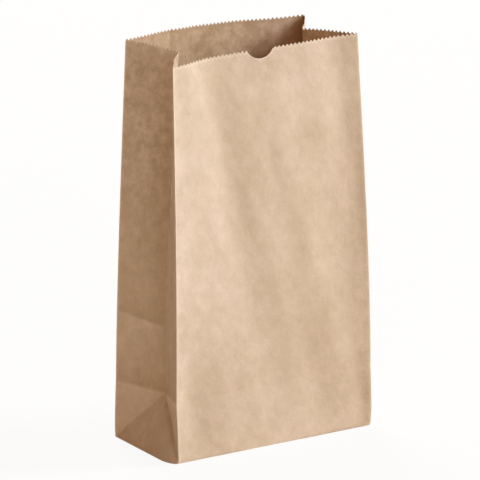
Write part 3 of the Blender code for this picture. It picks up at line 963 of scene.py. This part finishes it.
floor = {
    "size": 6.0,
    "level": -0.0001,
    "colour": (0.85, 0.78, 0.68),
    "roughness": 0.9,
    "specular": 0.1,
    "ownLight": 0.92,          # share of plain white in what a seen ray gets
}


# 1 for the rays that see a surface directly, in a reflection or through something clear.
def seenRays(tree):
    path = addNode(tree, "ShaderNodeLightPath", (-800, 400))
    seen = path.outputs["Is Camera Ray"]
    for step, ray in enumerate(("Is Glossy Ray", "Is Transmission Ray")):
        either = addNode(tree, "ShaderNodeMath", (-600 + 200 * step, 400), operation="MAXIMUM")
        linkUp(tree, seen, either.inputs[0])
        linkUp(tree, path.outputs[ray], either.inputs[1])
        seen = either.outputs[0]
    return seen


def buildFloor():
    mesh = bpy.data.meshes.new("floor")
    h, z = floor["size"] / 2, floor["level"]
    mesh.from_pydata([(-h, -h, z), (h, -h, z), (h, h, z), (-h, h, z)], [], [(0, 1, 2, 3)])
    material = bpy.data.materials.new("paleFloor")
    material.use_nodes = True
    tree = material.node_tree
    shader = tree.nodes["Principled BSDF"]
    setInput(shader, "Base Color", floor["colour"] + (1.0,))
    setInput(shader, "Roughness", floor["roughness"])
    setInput(shader, "Specular IOR Level", floor["specular"])
    glow = addNode(tree, "ShaderNodeEmission", (0, -300))
    setInput(glow, "Color", (1.0, 1.0, 1.0, 1.0))
    setInput(glow, "Strength", 1.0)
    share = addNode(tree, "ShaderNodeMath", (-200, 400), operation="MULTIPLY")
    share.inputs[1].default_value = floor["ownLight"]
    linkUp(tree, seenRays(tree), share.inputs[0])
    blend = addNode(tree, "ShaderNodeMixShader", (300, 0))
    linkUp(tree, share.outputs[0], blend.inputs["Fac"])
    linkUp(tree, shader.outputs["BSDF"], blend.inputs[1])
    linkUp(tree, glow.outputs["Emission"], blend.inputs[2])
    linkUp(tree, blend.outputs["Shader"], tree.nodes["Material Output"].inputs["Surface"])
    mesh.materials.append(material)
    made = bpy.data.objects.new("floor", mesh)
    homeCollection.objects.link(made)


buildFloor()

view = {
    "place": (-1.92005, -3.56204, 1.10345),
    "lens": 450.84,
    "sensor": 36.0,
    "clipEnd": 30.0,
    "azimuth": math.radians(28.409),
    "elevation": math.radians(13.438),
    "roll": math.radians(-3.3074),
}


def buildCamera():
    a, e, r = view["azimuth"], view["elevation"], view["roll"]
    forward = np.array([math.sin(a) * math.cos(e), math.cos(a) * math.cos(e), -math.sin(e)])
    right = np.array([math.cos(a), -math.sin(a), 0.0])
    up = np.cross(right, forward)
    across = math.cos(r) * right + math.sin(r) * up
    upright = -math.sin(r) * right + math.cos(r) * up
    camera = bpy.data.objects.new("camera", bpy.data.cameras.new("camera"))
    camera.data.lens = view["lens"]
    camera.data.sensor_width = view["sensor"]
    camera.data.clip_end = view["clipEnd"]
    turn = np.eye(4)
    turn[:3, 0], turn[:3, 1], turn[:3, 2], turn[:3, 3] = across, upright, -forward, view["place"]
    camera.matrix_world = Matrix(turn.tolist())
    homeCollection.objects.link(camera)
    bpy.context.scene.camera = camera


buildCamera()

light = {
    "key": {"azimuth": 65, "elevation": 30, "distance": 5.0, "size": 2.0, "energy": 272.0,
            "colour": (0.84, 0.955, 1.0)},
    "front": {"azimuth": -10, "elevation": 10, "distance": 5.0, "size": 2.0, "energy": 70.0,
              "colour": (1.0, 1.0, 0.98)},
    "left": {"azimuth": -100, "elevation": 8, "distance": 5.0, "size": 1.4, "energy": 21.5,
             "colour": (1.0, 0.61, 0.22)},
    "back": {"azimuth": 165, "elevation": 35, "distance": 5.0, "size": 2.0, "energy": 150.0,
             "colour": (0.94, 1.0, 1.0)},
    "worldColour": (1.0, 0.48, 0.17),
    "worldStrength": 0.16,
    "aimHeight": 0.14,
}


# A square soft light that looks at the middle of the bag. Azimuth 0 is straight in front of it.
def buildLamp(name):
    facts = light[name]
    a, e = math.radians(facts["azimuth"]), math.radians(facts["elevation"])
    toward = np.array([math.sin(a) * math.cos(e), -math.cos(a) * math.cos(e), math.sin(e)])
    lamp = bpy.data.lights.new(name + "Light", "AREA")
    lamp.shape = "SQUARE"
    lamp.size = facts["size"]
    lamp.energy = facts["energy"]
    lamp.color = facts["colour"]
    made = bpy.data.objects.new(name + "Light", lamp)
    side = np.cross([0.0, 0.0, 1.0], toward)
    side /= np.linalg.norm(side)
    turn = np.eye(4)
    turn[:3, 0], turn[:3, 1], turn[:3, 2] = side, np.cross(toward, side), toward
    turn[:3, 3] = np.array([0.0, 0.0, light["aimHeight"]]) + toward * facts["distance"]
    made.matrix_world = Matrix(turn.tolist())
    homeCollection.objects.link(made)


def buildWorld():
    world = bpy.data.worlds.new("studio")
    bpy.context.scene.world = world
    world.use_nodes = True
    tree = world.node_tree
    ambient = tree.nodes["Background"]
    setInput(ambient, "Color", light["worldColour"] + (1.0,))
    setInput(ambient, "Strength", light["worldStrength"])
    white = addNode(tree, "ShaderNodeBackground", (0, -200))
    setInput(white, "Color", (1.0, 1.0, 1.0, 1.0))
    setInput(white, "Strength", 1.0)
    blend = addNode(tree, "ShaderNodeMixShader", (300, 0))
    linkUp(tree, seenRays(tree), blend.inputs["Fac"])
    linkUp(tree, ambient.outputs["Background"], blend.inputs[1])
    linkUp(tree, white.outputs["Background"], blend.inputs[2])
    linkUp(tree, blend.outputs["Shader"], tree.nodes["World Output"].inputs["Surface"])


for lampName in ("key", "front", "left", "back"):
    buildLamp(lampName)
buildWorld()
bpy.context.scene.view_settings.view_transform = "Standard"

print("scene ready")
